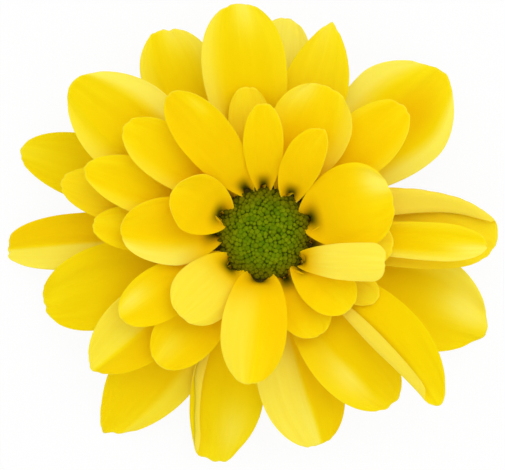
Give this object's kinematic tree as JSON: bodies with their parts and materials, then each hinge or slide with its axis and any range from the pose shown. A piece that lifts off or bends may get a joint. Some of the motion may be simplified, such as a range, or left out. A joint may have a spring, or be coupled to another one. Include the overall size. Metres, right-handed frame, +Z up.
{
  "type": "chrysanthemum flower head",
  "caption": "Yellow daisy-eyed chrysanthemum head: rings of rounded ray petals rise around a low green disc, on a short cut stem with green bracts.",
  "frame": {"origin": "on the surface that the flower rests on, at the middle of its plan", "axes": "+Z up, the way the flower faces; +X along its longest side, to the right seen from above with +Y ahead"},
  "size_m": [0.0708, 0.0659, 0.0158],
  "materials": {
    "petal": "soft satin petal, a little translucent, paler at the tip and deeper yellow towards the root",
    "disc": "matt green florets, browner at the rim",
    "bract": "matt green scale with a paler thin margin",
    "peduncle": "matt green stem with fine ribs and a paler cut end"
  },
  "bodies": {
    "root": {"bract_01": "bract", "bract_02": "bract", "bract_03": "bract", "bract_04": "bract", "bract_05": "bract", "bract_06": "bract", "bract_07": "bract", "bract_08": "bract", "bract_09": "bract", "bract_10": "bract", "bract_11": "bract", "bract_12": "bract", "bract_13": "bract", "disc_florets": "disc", "inner_petal_01": "petal", "inner_petal_02": "petal", "inner_petal_03": "petal", "inner_petal_04": "petal", "inner_petal_05": "petal", "inner_petal_06": "petal", "inner_petal_07": "petal", "inner_petal_08": "petal", "inner_petal_09": "petal", "inner_petal_10": "petal", "inner_petal_11": "petal", "middle_petal_01": "petal", "middle_petal_02": "petal", "middle_petal_03": "petal", "middle_petal_04": "petal", "middle_petal_05": "petal", "middle_petal_06": "petal", "middle_petal_07": "petal", "middle_petal_08": "petal", "middle_petal_09": "petal", "middle_petal_10": "petal", "outer_petal_01": "petal", "outer_petal_02": "petal", "outer_petal_03": "petal", "outer_petal_04": "petal", "outer_petal_05": "petal", "outer_petal_06": "petal", "outer_petal_07": "petal", "outer_petal_08": "petal", "outer_petal_09": "petal", "outer_petal_10": "petal", "outer_petal_11": "petal", "outer_petal_12": "petal", "outer_petal_13": "petal", "outer_petal_14": "petal", "outer_petal_15": "petal", "outer_petal_16": "petal", "outer_petal_17": "petal", "outer_petal_18": "petal", "outer_petal_19": "petal", "peduncle": "peduncle"}
  },
  "joints": []
}
